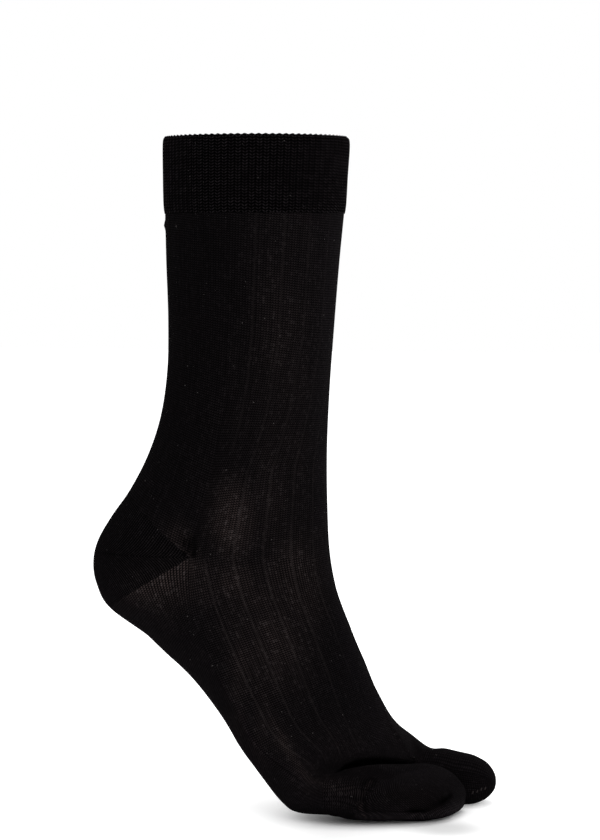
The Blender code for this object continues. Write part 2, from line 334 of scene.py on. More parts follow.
def shell(name, grid, closed, wall, wale, course, marks, material, tip=None, cap=None):
    """A cloth wall: grid is its outer face, in mm, and it is wall thick, inward.

    wale and course are the knit's coordinates, marks are more grids of values for the material,
    tip closes the last ring with a fan, and cap is other knit coordinates and where they hold.
    """
    rows, columns = grid.shape[:2]
    inner = grid - outward_of(grid, closed) * wall
    points = [grid.reshape(-1, 3), inner.reshape(-1, 3)]
    offset = rows * columns
    values = {mark: [np.asarray(at, float).reshape(-1)] * 2 for mark, at in marks.items()}
    if tip is not None:
        end = np.array(tip, float)
        direction = end - grid[0].mean(0)
        direction[2] = 0
        direction /= np.linalg.norm(direction)
        points.append(np.array([end, end - direction * wall]))
        for mark, at in marks.items():
            values[mark].append(np.full(2, float(at[-1].mean())))
    faces, uv = [], []

    def knit(i, k, capped=False):
        if capped:
            return (cap[0][i, k % columns], cap[1][i, k % columns])
        return (wale[i, k], course[i, k % columns])

    span = columns if closed else columns - 1
    for i in range(rows - 1):
        for k in range(span):
            n = (k + 1) % columns
            capped = cap is not None and cap[2][i, k]
            corners = ((i, k), (i + 1, k), (i + 1, k + 1), (i, k + 1))
            quad = [i * columns + k, (i + 1) * columns + k, (i + 1) * columns + n, i * columns + n]
            at = [knit(*corner, capped) for corner in corners]
            faces += [quad, [v + offset for v in reversed(quad)]]
            uv += [at, at[::-1]]

    def rim(corners, backwards=False):
        """Closes the wall along a border."""
        for ends in zip(corners[:-1], corners[1:]):
            ends = ends[::-1] if backwards else ends
            a, b = (i * columns + k % columns for i, k in ends)
            here, there = (knit(i, k) for i, k in ends)
            faces.append([a, b, b + offset, a + offset])
            uv.append([here, there, there, here])

    rim([(0, k) for k in range(span + 1)])
    if tip is None:
        rim([(rows - 1, k) for k in range(span + 1)], backwards=True)
    else:
        last, apex = (rows - 1) * columns, 2 * offset
        capped = cap is not None
        for k in range(span):
            n = (k + 1) % columns
            here, there = knit(rows - 1, k, capped), knit(rows - 1, k + 1, capped)
            middle = (cap[0][-1].mean(), cap[1][-1].mean()) if capped else (here[0], here[1] + 1)
            faces += [[last + k, apex, last + n], [offset + last + n, apex + 1, offset + last + k]]
            uv += [[here, middle, there], [there, middle, here]]
    if not closed:
        rim([(i, 0) for i in range(rows)], backwards=True)
        rim([(i, columns - 1) for i in range(rows)])
    marks = {mark: np.concatenate(at) for mark, at in values.items()}
    return cloth_object(name, np.vstack(points), faces, uv, marks, material)


def dress(piece, node):
    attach(piece, "root")
    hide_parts(node)


# ---- materials ----


class Nodes:
    """Builds a material's node tree with short calls."""

    def __init__(self, name):
        self.material = bpy.data.materials.new(name)
        self.material.use_nodes = True
        self.tree = self.material.node_tree
        self.tree.nodes.clear()

    def node(self, kind, sockets=None, **settings):
        """A new node; what its sockets hold is a value or another node's output."""
        node = self.tree.nodes.new(kind)
        for key, value in settings.items():
            setattr(node, key, value)
        for key, value in (sockets or {}).items():
            if isinstance(value, bpy.types.NodeSocket):
                self.tree.links.new(value, node.inputs[key])
            else:
                node.inputs[key].default_value = value
        return node

    def math(self, operation, *values, clamp=False):
        sockets = dict(enumerate(values))
        return self.node("ShaderNodeMath", sockets, operation=operation, use_clamp=clamp).outputs[0]

    def product(self, *values):
        found = values[0]
        for value in values[1:]:
            found = self.math("MULTIPLY", found, value)
        return found

    def line(self, value, slope, start, clamp=False):
        return self.math("MULTIPLY_ADD", value, slope, start, clamp=clamp)

    def wave(self, value):
        """1 where value is whole and 0 halfway between."""
        return self.line(self.math("COSINE", self.math("MULTIPLY", value, 2 * np.pi)), 0.5, 0.5)

    def smooth(self, value, low, high, start=0.0, end=1.0):
        sockets = {"Value": value, "From Min": low, "From Max": high, "To Min": start, "To Max": end}
        node = self.node("ShaderNodeMapRange", sockets, interpolation_type="SMOOTHSTEP")
        return node.outputs["Result"]

    def mix(self, share, a, b):
        node = self.node("ShaderNodeMix", {0: share, 6: a, 7: b}, data_type="RGBA")
        return node.outputs[2]

    def pair(self, a, b):
        return self.node("ShaderNodeCombineXYZ", {0: a, 1: b}).outputs[0]

    def attribute(self, name):
        return self.node("ShaderNodeAttribute", attribute_name=name).outputs["Fac"]

    def noise(self, vector, scale, detail):
        sockets = {"Vector": vector, "Scale": scale, "Detail": detail}
        return self.node("ShaderNodeTexNoise", sockets).outputs["Fac"]

    def surface(self, sockets):
        shader = self.node("ShaderNodeBsdfPrincipled", sockets)
        self.node("ShaderNodeOutputMaterial", {"Surface": shader.outputs["BSDF"]})


BLACK_YARN = (0.0056, 0.0047, 0.0053, 1)
RIB_YARN = (0.0105, 0.0088, 0.0098, 1)
STRETCHED_YARN = (0.034, 0.0250, 0.0240, 1)  # a loop that lets skin tone through
GLINT = (0.060, 0.050, 0.050, 1)  # the odd loop that lets more through
LADDER_GAP = (0.0110, 0.0088, 0.0088, 1)
LADDER_RUNG = (0.046, 0.038, 0.038, 1)
LINT = (0.11, 0.10, 0.10, 1)
UNLIT = (0.0001, 0.0001, 0.0001, 1)
LINK_THREAD = (0.017, 0.0135, 0.0135, 1)

# Scales of noise, by place and then along the wales, and the ends of its middle part
WAVER_SCALE, CLOUD_SCALE, FUZZ_SCALE, LINT_SCALE = 55.0, 42.0, 1300.0, 1100.0
STREAK_ACROSS, STREAK_ALONG, DASH_SCALE = 0.8, 0.04, 5.0
STREAKS, CLOUDS, DASHES = (0.28, 0.70), (0.36, 0.62), (0.40, 0.62)
RARE_GLINT, RARE_LINT = 0.84, 0.875  # only noise past this much makes one

# Across a stitch, in wales from its middle: 0.5 is the groove between two wales
LEG_AT, LEG_NARROWNESS, LEG_POWER = 0.24, 3.3, 2.3  # the rib's V has two separate legs
GROOVE_EDGE, CROWN_EDGE = 0.48, 0.14  # the plain knit's grooves and crowns
GROOVE, GROOVE_IF_DENSE = 0.62, 0.26  # how bright its grooves are
GAP, GAP_IF_DENSE, RIB_GAP_IF_DENSE = 0.30, 0.42, 0.5  # how bright it is between two courses
COURSE_EDGES = (0.14, 0.80)
LADDER_EDGES = (0.36, 0.05)  # wales from a ladder's middle: where it ends, where it is full
LADDER_SHARE, LADDER_SHARE_IF_THIN = 0.32, 0.92
BUMP, FUZZ_BUMP, LADDER_BUMP = 0.0005, 0.15, 0.5  # m, and shares of a stitch's height


def stitch_height(n, side, rise, ribbed):
    """0 to 1: how far the yarn stands out at each point of a V-shaped stitch."""
    dense = n.attribute("dense")
    if ribbed:
        off = n.product(n.math("ABSOLUTE", n.math("SUBTRACT", side, LEG_AT)), LEG_NARROWNESS)
        crown = n.math("SUBTRACT", 1.0, n.product(off, off), clamp=True)
        gap = n.product(dense, RIB_GAP_IF_DENSE)
    else:
        groove = n.line(dense, GROOVE_IF_DENSE - GROOVE, GROOVE, clamp=True)
        crown = n.smooth(side, GROOVE_EDGE, CROWN_EDGE, groove, 1.0)
        gap = n.line(n.math("MINIMUM", dense, 1.0), GAP_IF_DENSE - GAP, GAP)
    stitch = n.product(crown, n.smooth(n.wave(rise), *COURSE_EDGES, gap, 1.0))
    return n.math("POWER", stitch, LEG_POWER) if ribbed else stitch


def ladder_line(n, wale, along):
    """0 to 1: the thin, broken lines of openwork down the wales."""
    nearest = n.product(n.math("ROUND", n.math("DIVIDE", wale, LADDER_EVERY)), LADDER_EVERY)
    away = n.math("ABSOLUTE", n.math("SUBTRACT", wale, nearest))
    dashes = n.smooth(n.noise(along, DASH_SCALE, 1.0), *DASHES, 0.4, 1.2)
    return n.product(n.smooth(away, *LADDER_EDGES), n.attribute("ladder"), dashes)


def knit_material(name, tone, slant, waver, ribbed):
    """Black fine-gauge knit: stitches from the knit coordinates, skin tone through the gaps.

    slant is how steep the legs of a stitch are and waver how far its courses wander.
    """
    n = Nodes(name)
    knit = n.node("ShaderNodeUVMap", uv_map="knit").outputs["UV"]
    wale, course = n.node("ShaderNodeSeparateXYZ", {0: knit}).outputs[:2]
    place = n.node("ShaderNodeTexCoord").outputs["Object"]

    # one V-shaped stitch in each cell of one wale by one course
    side = n.math("ABSOLUTE", n.math("SUBTRACT", n.math("FRACT", wale), 0.5))
    rise = n.line(side, slant, n.line(n.noise(place, WAVER_SCALE, 1.0), waver, course))
    stitch = stitch_height(n, side, rise, ribbed)
    cell = n.pair(n.math("FLOOR", wale), n.math("FLOOR", rise))
    luck = n.node("ShaderNodeTexWhiteNoise", {"Vector": cell}, noise_dimensions="2D").outputs["Value"]

    # the yarn is a little thicker or thinner for a while along each wale
    along = n.pair(n.product(wale, STREAK_ACROSS), n.product(course, STREAK_ALONG))
    streak = n.noise(along, 1.0, 2.0)
    cloud = n.noise(place, CLOUD_SCALE, 2.0)
    fuzz = n.noise(place, FUZZ_SCALE, 3.0)
    if ribbed:
        uneven = n.line(n.math("POWER", luck, 2.0), 0.75, 0.72)
    else:
        uneven = n.product(n.line(n.math("POWER", luck, 5.0), 0.5, 0.9),
                           n.smooth(streak, *STREAKS, 0.88, 1.14))
    uneven = n.product(uneven, n.line(n.attribute("pale"), 1.0, 1.0))
    shine = n.product(stitch, uneven, n.line(fuzz, 1.0, 0.5))
    colour = n.mix(n.math("MINIMUM", shine, 4.0), UNLIT, tone)
    colour.node.clamp_factor = False  # a pale stitch is brighter than its yarn

    # skin tone where the cloth is stretched
    stretch = n.product(n.attribute("sheer"), n.smooth(streak, *STREAKS, 0.70, 1.25),
                        n.smooth(cloud, *CLOUDS, 0.75, 1.15))
    lit = n.line(n.math("POWER", stitch, 2.8), 1.15, 0.03)
    skin = n.product(lit, stretch, n.line(luck, 0.24, 0.88))
    colour = n.mix(n.math("MULTIPLY", skin, 0.85, clamp=True), colour, STRETCHED_YARN)
    glint = n.product(stitch, stretch, n.smooth(luck, RARE_GLINT, 1.0))
    colour = n.mix(n.math("MULTIPLY", glint, 0.6, clamp=True), colour, GLINT)

    height = stitch
    if not ribbed:
        ladder = ladder_line(n, wale, along)
        share = n.line(stretch, LADDER_SHARE_IF_THIN - LADDER_SHARE, LADDER_SHARE)
        rungs = n.mix(n.wave(course), LADDER_GAP, LADDER_RUNG)
        colour = n.mix(n.math("MULTIPLY", ladder, share, clamp=True), colour, rungs)
        height = n.math("SUBTRACT", height, n.product(ladder, LADDER_BUMP))

    # black where marked: the dark lines of the heel's mitre and the toe's gore, and painted shade in
    # the crease, the heel's corner pleats and along the toe cap's mitre and dimple
    colour = n.mix(n.product(n.attribute("seam_and_shade"), 0.97), colour, UNLIT)
    speck = n.math("GREATER_THAN", n.noise(place, LINT_SCALE, 0.0), RARE_LINT)
    colour = n.mix(n.product(speck, 0.5), colour, LINT)

    relief = {"Strength": 1.0, "Distance": BUMP, "Height": n.line(fuzz, FUZZ_BUMP, height)}
    n.surface({
        "Base Color": colour, "Roughness": 0.8, "Specular IOR Level": 0.001,
        "Sheen Weight": 0.0006, "Sheen Roughness": 0.45, "Sheen Tint": (1.0, 0.86, 0.9, 1),
        "Normal": n.node("ShaderNodeBump", relief).outputs["Normal"],
    })
    return n.material


def thread_material():
    n = Nodes("link_thread")
    n.surface({"Base Color": LINK_THREAD, "Roughness": 0.7, "Specular IOR Level": 0.05})
    return n.material


STANDS = (0.097, -0.045)  # m, the middle of the toes' footprint
CONTACT_FADE = (0.045, 0.095)  # m from there, where the floor's painted glow fades in and the contact shadow gives way to white
WHITE_GLOW = 0.50  # a painted glow that lifts the rest of the floor to white
UNDER_TOES = (0.101, -0.036)  # m, the middle of a painted shadow under the toes, where the floor is darkest
SHADOW_SPOT = (0.004, 0.026)  # m from there, where the painted shadow starts to fade and where it ends
SHADOW_TONE, FLOOR_TONE = 0.60, 0.93


def floor_material():
    n = Nodes("floor")
    place = n.node("ShaderNodeTexCoord").outputs["Object"]

    def distance_from(middle):
        ends = {0: place, 1: (*middle, FLOOR_Z * MM)}
        return n.node("ShaderNodeVectorMath", ends, operation="DISTANCE").outputs["Value"]

    # a painted contact shadow: darker colour under the toes, and no glow near them
    n.surface({
        "Base Color": n.smooth(distance_from(UNDER_TOES), *SHADOW_SPOT, SHADOW_TONE, FLOOR_TONE),
        "Roughness": 1.0, "Specular IOR Level": 0.0, "Emission Color": (1, 1, 1, 1),
        "Emission Strength": n.smooth(distance_from(STANDS), *CONTACT_FADE, 0.0, WHITE_GLOW),
    })
    return n.material


# ---- the knit ----

black = knit_material("black_knit", BLACK_YARN, slant=1.0, waver=0.5, ribbed=False)
rib_knit = knit_material("black_rib", RIB_YARN, slant=1.36, waver=1.2, ribbed=True)

TURNS = 2 * np.pi * (np.arange(AROUND) - AROUND // 2) / AROUND  # from the back, round the front
FROM_FRONT = np.degrees(np.abs(TURNS))
WALE = (np.arange(AROUND + 1) - AROUND // 2) * WALES / AROUND
COURSE = 1.09  # mm
CLOSE_WALE = 1.3  # mm, in the heel and the toes
WALL, CUFF_WALL = 1.2, 2.2  # mm


def courses_of(grid, lean=0.0):
    """Courses from the first ring to each ring, whole at the last one; lean sets them further on
    at the front than at the back."""
    steps = np.linalg.norm(np.diff(grid, axis=0), axis=2).mean(1)
    along = np.concatenate([[0], np.cumsum(steps)]) / COURSE
    along *= round(along[-1]) / along[-1]
    columns = grid.shape[1]
    facing = np.cos(2 * np.pi * np.arange(columns) / columns - np.pi)
    return along[:, None] + np.reshape(lean, (-1, 1)) * facing


def twisted(amount, power):
    """Wales that the foot has drawn round towards the outer side, by up to amount at the front."""
    front = np.clip(np.cos(2 * np.pi * WALE / WALES), 0, 1)
    return WALE[None, :] + amount[:, None] * front[None, :] ** power[:, None]


# ---- marks on the cloth ----


def near_line(grid, line):
    """Distance in mm of each point of a grid from a polyline."""
    line = np.array(line, float)
    found = np.full(grid.shape[:2], np.inf)
    for a, b in zip(line[:-1], line[1:]):
        t = np.clip(((grid - a) * (b - a)).sum(-1) / ((b - a) ** 2).sum(), 0, 1)
        found = np.minimum(found, np.linalg.norm(grid - a - t[..., None] * (b - a), axis=2))
    return found


# Where the cloth is stretched thin, on both sides alike: a point on the outer one, its reach
# and how much shows
THIN_FALL = 0.7  # how fast that fades towards its reach and beyond
THIN = (
    ((-1, -32, -178.5), (8, 16, 14), 1.0),
    ((-49, -29, -210.5), (12, 20, 8), 1.0),
    ((-36, -31, -206), (13, 16, 12), 1.0),
    ((-18, -33, -209), (14, 14, 12), 0.25),
    ((0, -33, -208), (10, 14, 8), 0.5),
    ((13, -33, -218), (11, 14, 9), 0.45),
    ((-26, -33, -201.5), (7, 10, 4), 0.9),
    ((-29, -33, -189), (6, 10, 7), 0.4),
    ((-79, -8, -199.5), (3, 12, 2.0), 0.5),
    ((18, -28, -236), (15, 16, 22), 0.45),
    ((27, -24, -209), (12, 14, 24), 0.5),
    ((6, -30, -226), (14, 16, 16), 0.25),
    ((22, -29, -95), (14, 20, 75), 0.24),
    ((4, -35, -140), (16, 16, 40), 0.10),
    ((3, -38, -245), (5, 14, 24), 0.42),
    ((15, -28, -168), (7, 14, 22), 0.35),
    ((14, -36, -265), (5, 14, 22), 0.3),
    ((48, -22, -283), (22, 18, 10), 0.10),
    ((82, -37, -305), (20, 12, 7), 0.10),
)

# A thin line along the sole's outer edge, and how much shows within how many mm of it; near the
# toe cap it is lost: by x, distances from it count as this much more
EDGE_LINE = (
    (14.0, -36.0, -265.0), (25.2, -38.1, -282.8), (33.3, -41.6, -292.6), (39.6, -43.7, -297.9),
    (48.5, -45.0, -299.6), (57.8, -44.2, -301.1),
)
EDGE_SHOWS = ((0.55, 1.5), (0.2, 7))
EDGE_LOST = ((34, 56.5), (0, 2.5))


def thinness(grid):
    """0 to 1: how sheer the stretched cloth is at each point."""
    mirrored = grid.copy()
    mirrored[..., 1] = -np.abs(mirrored[..., 1])
    found = np.zeros(grid.shape[:2])
    for middle, reach, amount in THIN:
        far = (((mirrored - middle) / reach) ** 2).sum(-1)
        found = np.maximum(found, amount * np.exp(-THIN_FALL * far))
    away = near_line(grid, EDGE_LINE) + np.interp(grid[..., 0], *EDGE_LOST)
    return np.maximum(found, sum(amount * fade(away, reach) for amount, reach in EDGE_SHOWS))


PLEATS_AT = np.array([-22.5, 0, -192.5])
PLEATS_REACH = (4.5, 5.5)  # along x and z
PLEATS_Y = 25  # and from here outwards on both sides
PLEAT_PITCH, PLEAT_DARK, PLEAT_SWING = 2.6, 0.60, 0.30


def painted_pleat_shade(grid):
    """Painted shade of little pleats where the heel's corner gathers the cloth, under the ankle bone.
    """
    out = grid - PLEATS_AT
    at_side = np.abs(grid[..., 1]) > PLEATS_Y
    patch = np.exp(-((out[..., 0] / PLEATS_REACH[0]) ** 4) - (out[..., 2] / PLEATS_REACH[1]) ** 4)
    wave = np.cos(2 * np.pi * out[..., 0] / PLEAT_PITCH)
    return at_side * patch * (PLEAT_DARK + PLEAT_SWING * wave)


# ---- cuff ----

CUFF_FINE = 10  # rings from one row of the cuff's table to the next
RIB_POINTS = 8  # round each rib
RIB_DEPTH, RIB_FLATNESS = 0.22, 0.7
SCALLOP_REACH = 2.0  # how far down the ribs' scalloped top edge is felt
WELT_TUCK, TUCK_REACH = 0.55, 2.5  # how far the cuff's lower edge is drawn in, and from where
CUFF_COURSES = 0.78  # the rib's courses for one of the plain knit's
CUFF_PALE, SHIN_PALER, BACK_DARKER = -0.06, 0.22, 0.25


def build_cuff():
    count = CUFF_RIBS * RIB_POINTS
    turns = 2 * np.pi * (np.arange(count) - count // 2) / count
    smooth = np.array([ring_of(section, turns) for section in between(CUFF, CUFF_FINE)])
    outward = smooth * [1, 1, 0]
    outward /= np.linalg.norm(outward, axis=2, keepdims=True)
    wave = np.cos(turns * CUFF_RIBS)
    crest = np.sign(wave) * np.abs(wave) ** RIB_FLATNESS
    grid = smooth + outward * (RIB_DEPTH * (crest - 1))[None, :, None]
    grid[..., 2] += RIB_DEPTH * (crest - 1) * np.exp(grid[..., 2] / SCALLOP_REACH)
    grid -= outward * WELT_TUCK * np.exp((-CUFF_DEPTH - grid[..., 2:]) / TUCK_REACH)
    side = grid @ RIGHT
    side = (side - side.mean()) / np.ptp(side) * 2  # -1 at the back of the leg, 1 at the shin
    behind, before = ramp(-side, 0.4, 0.8), ramp(side, 0.3, 0.7)
    marks = {"dense": behind, "pale": SHIN_PALER * before - BACK_DARKER * behind + CUFF_PALE}
    wales = (np.arange(count + 1) - count // 2) / RIB_POINTS + 0.5
    cuff = shell("cuff_rib", grid, True, CUFF_WALL, np.tile(wales, (len(grid), 1)),
                 courses_of(grid) * CUFF_COURSES, marks, rib_knit)
    dress(cuff, "cuff")


# ---- leg ----

LEG_FINE = 16  # rings from one row of the leg's table to the next
LEG_LADDERS = 80  # degrees from the front to the last ladder line
# By degrees from the front, how much paler the leg is
LEG_PALE = ((0, 40, 60, 80, 110, 150, 180), (0.20, 0.10, 0.0, -0.15, -0.25, -0.20, -0.12))
# By height: how much of that holds, how clear the ladders are and how much shows through
LEG_PALE_HOLDS = ((-190, -130), (0.3, 1))
LEG_LADDER_HOLDS = ((-190, -130), (0.8, 0.42))
LEG_SHEER_HOLDS = ((-170, -130), (1.0, 0.82))
# By ring: wales that the front is drawn round, how that is shared, and courses it is ahead
LEG_TWIST = ((0, 34, 46, 55, 68, 96), (0, 0, 3.1, 6.2, 11.2, 12.0))
LEG_TWIST_POWER = ((50, 70), (1.0, 0.4))
LEG_LEAN = ((0, 36, 96), (-3.7, -3.7, 9.0))
KNOT_Z, KNOT_PROUD = -41.8, 0.8  # on the back edge as the camera sees it
KNOT_WIDE, KNOT_TALL = 3.0, 1.7  # points and mm


def build_leg():
    after = with_back_of(FOOT[1], HEEL[1])
    grid = np.array([ring_of(section, TURNS) for section in between(LEG, LEG_FINE, after=after)])
    edge = (grid @ RIGHT).argmin(axis=1)
    past = (np.arange(AROUND)[None, :] - edge[:, None] + AROUND // 2) % AROUND - AROUND // 2
    knot = np.exp(-((past / KNOT_WIDE) ** 2) - ((grid[..., 2] - KNOT_Z) / KNOT_TALL) ** 2)
    grid = grid + outward_of(grid, True) * (KNOT_PROUD * knot)[..., None]
    height = grid[..., 2]
    front = (FROM_FRONT < LEG_LADDERS)[None, :]
    pale = np.interp(FROM_FRONT, *LEG_PALE)[None, :]
    marks = {
        "sheer": thinness(grid) * np.interp(height, *LEG_SHEER_HOLDS),
        "seam_and_shade": painted_pleat_shade(grid),
        "ladder": front * np.interp(height, *LEG_LADDER_HOLDS),
        "pale": np.interp(height, *LEG_PALE_HOLDS) * pale,
    }
    rings = np.arange(len(grid))
    wale = twisted(np.interp(rings, *LEG_TWIST), np.interp(rings, *LEG_TWIST_POWER))
    course = courses_of(grid, np.interp(rings, *LEG_LEAN))
    leg = shell("leg_knit", grid, True, WALL, wale, course, marks, black)
    dress(leg, "leg")


# ---- heel ----

HEEL_FINE = 10  # rings from one row of the heel's table to the next
FAN = np.radians(86.0)  # how far the heel's rings turn about the ankle points
MITRE_HALF, MITRE_DARK = np.radians(1.2), 0.35  # the line across its middle
SIDES_HALF, SIDES_DARK = np.radians(1.0), 0.2  # and the two that bound it
HEEL_DENSE, HEEL_PALE, HEEL_SHEER = 1.75, 0.10, 0.12


def build_heel():
    before, after = with_back_of(HEEL[0], LEG[-2]), with_back_of(HEEL[0], FOOT[1])
    quarter = AROUND // 4
    turns = 2 * np.pi * np.arange(quarter, 3 * quarter + 1) / AROUND
    grid = np.array([ring_of(section, turns) for section in between(HEEL, HEEL_FINE, before, after)])
    # the wales run parallel above the fan's middle and below it, and meet there at an angle
    steps = np.linalg.norm(np.diff(grid, axis=1), axis=2)
    run = np.concatenate([np.zeros((len(grid), 1)), np.cumsum(steps, axis=1)], axis=1)
    run = np.minimum(run, run[:, -1:] - run)
    angle = FAN * np.arange(len(grid)) / (len(grid) - 1)
    bend = np.minimum(angle, FAN - angle)[:, None]
    lines = MITRE_DARK * fade(angle - FAN / 2, MITRE_HALF)[:, None]
    lines = lines + SIDES_DARK * fade(bend, SIDES_HALF)
    even = np.ones(grid.shape[:2])
    marks = {
        "sheer": HEEL_SHEER * thinness(grid),
        "seam_and_shade": np.maximum(lines, painted_pleat_shade(grid)),
        "dense": HEEL_DENSE * even,
        "pale": HEEL_PALE * even,
    }
    wale, course = run * np.cos(bend) / CLOSE_WALE, run * np.sin(bend) / COURSE
    heel = shell("heel_pocket", grid, False, WALL, wale, course, marks, black)
    dress(heel, "heel")


# ---- the foot, the split and the crease ----

SPLIT = split_ring()
FOOT_FINE = 12  # rings from one row of the foot's table to the next
LAST_FINE = 14  # rings from its last row to the split
POCKET_FINE = (2, 12, 8, 7, 6, 5, 12)  # and from ring to ring of a toe pocket
SMOOTH_ROWS = 22  # rings each side of the split that are eased into one another
EASED_OVER = 8  # rings over which that starts
EASINGS = 26  # times that a point is drawn halfway to its neighbours
CLEFT_HALF = 0.6  # mm
# How far the knit swells out from the solid, by height, along the sole and along the instep
SOLE_SWELL = ((-318.0, -312.0, -303.0, -296.0, -290.0, -284.0, -246.0, -238.0),
              (-1.0, -1.2, -0.8, -0.2, 0.6, 1.3, 1.3, 0.0))
INSTEP_SWELL = ((-262.0, -250.0, -232.0, -215.0), (0.0, 1.0, 1.0, 0.0))
SWELL_WAY = np.array([0.72, 0.19, 0.66])
# How far the ball's outer lower edge is raised, by how far right it is in the picture
BALL_RISE = ((0.0, 25.0, 42.0, 60.0, 90.0), (0.0, 0.2, 1.2, 1.2, 0.6))
TOE_RISE = 1.2  # on top of the big toe's tip
CREASE_HALF = 1.7
CREASE_DEPTH = 3.0
# How much of that depth there is, by how far across the foot
CREASE_SHARE = ((-45.0, -39.0, -33.0, -27.0, 0.0, 6.0, 11.0, 13.5),
                (0.0, 0.3, 0.85, 1.0, 1.0, 0.85, 0.5, 0.0))
CREASE_BOTTOM = -304.0
DOWN = np.radians(10.3)  # how steeply the camera looks down on the toes
UP = np.array([-np.sin(AZIMUTH) * np.sin(DOWN), np.cos(AZIMUTH) * np.sin(DOWN), np.cos(DOWN)])
# The mouth of the crease: how tall it is, by how far right, both as the camera sees them
MOUTH = ((38.0, 42.2, 47.5, 55.4, 63.1, 71.3, 77.0, 81.5),
         (0.0, 2.2, 3.2, 3.0, 2.4, 1.6, 0.7, 0.0))
MOUTH_ROWS, MOUTH_TURN = 40, 80  # it lies this many rings and degrees from the split's top
MOUTH_EDGE = 0.7  # its painted shade fades over this much, starting
MOUTH_OVERLAP = 1.4  # this far below the pocket's outline
MOUTH_DEPTH, SUNK_FROM = 3.4, 2.5
LIP_PROUD = 1.0
LIP_GAP, LIP_BELOW, LIP_ABOVE = 0.5, 0.8, 4.0  # from the mouth to the lip's crest, and its reach
SAG, SAG_RIGHT, SAG_REACH = 1.2, 71, 12  # where the four-toe pocket's top dips


def toe_rows(table, tip, first, last, side):
    """A pocket's rings from the split to its tip, and the split's points that it shares."""
    shared = [k % AROUND for k in range(first * FINE, last * FINE + 1)]
    loop = [SPLIT[k] for k in shared]
    start, end = loop[0], loop[-1]
    steps = CLEFT_STEPS * FINE
    wall = [end + (start - end) * step / steps for step in range(1, steps)]
    base = np.array(loop + wall)
    inset = base.copy()
    edge = CLEFT_Y + side * CLEFT_HALF
    inset[len(loop):, 1] = edge
    rows = [toe_ring(ring, base) for ring in table]
    neck = base + (rows[0] - base) * NECK
    neck[:, 1] = np.maximum(neck[:, 1], edge) if side > 0 else np.minimum(neck[:, 1], edge)
    rows = [inset, neck, *rows, np.tile(tip, (len(base), 1))]
    return resample(rows, POCKET_FINE)[:-1], shared


def foot_rings():
    """The foot's rings from the ankle to the split."""
    before = with_back_of(LEG[-2], HEEL[-2])
    rings = [ring_of(section, TURNS) for section in between(FOOT, FOOT_FINE, before)]
    last = np.roll(SPLIT, AROUND // 2, axis=0)
    rings += [rings[-1] * (1 - step / LAST_FINE) + last * step / LAST_FINE
              for step in range(1, LAST_FINE + 1)]
    return np.array(rings)


def eased(points, weight, grids):
    """The points, drawn again and again towards the middle of their neighbours in the grids."""
    edges = []
    for grid in grids:
        edges.append(np.stack([grid[:-1].ravel(), grid[1:].ravel()], 1))
        edges.append(np.stack([grid.ravel(), np.roll(grid, -1, 1).ravel()], 1))
    edges = np.unique(np.sort(np.vstack(edges), axis=1), axis=0)
    edges = edges[edges[:, 0] != edges[:, 1]]
    degree = np.bincount(edges.ravel(), minlength=len(points))[:, None]
    for _ in range(EASINGS):
        near = np.zeros_like(points)
        np.add.at(near, edges[:, 0], points[edges[:, 1]])
        np.add.at(near, edges[:, 1], points[edges[:, 0]])
        points = points + 0.5 * weight * (near / np.maximum(degree, 1) - points)
    return points


def swell(points, index):
    """Moves the points out a little from the solid, as far as the photograph's outline."""
    facing = np.cos(TURNS)[None, :]
    foot = points[index]
    behind = ((1 - facing) / 2) ** 2 * np.interp(foot[..., 2], *SOLE_SWELL)
    ahead = ((1 + facing) / 2) ** 2 * np.interp(foot[..., 2], *INSTEP_SWELL)
    points[index] = foot + (ahead - behind)[..., None] * SWELL_WAY
    right = points @ RIGHT
    low = ramp(-points[:, 1], 16, 30) * ramp(-points[:, 2], 308, 314)  # below and outside
    points[:, 2] += np.interp(right, *BALL_RISE) * low
    high = ramp(right, 95, 105) * ramp(points[:, 2], -308, -300)  # on top, ahead
    points[:, 2] += TOE_RISE * high * (points[:, 1] > CLEFT_Y)


def distance_down(path):
    """How far along its column each point of a grid is from the first row."""
    steps = np.linalg.norm(np.diff(path, axis=0), axis=2)
    return np.vstack([np.zeros(path.shape[1]), np.cumsum(steps, axis=0)])


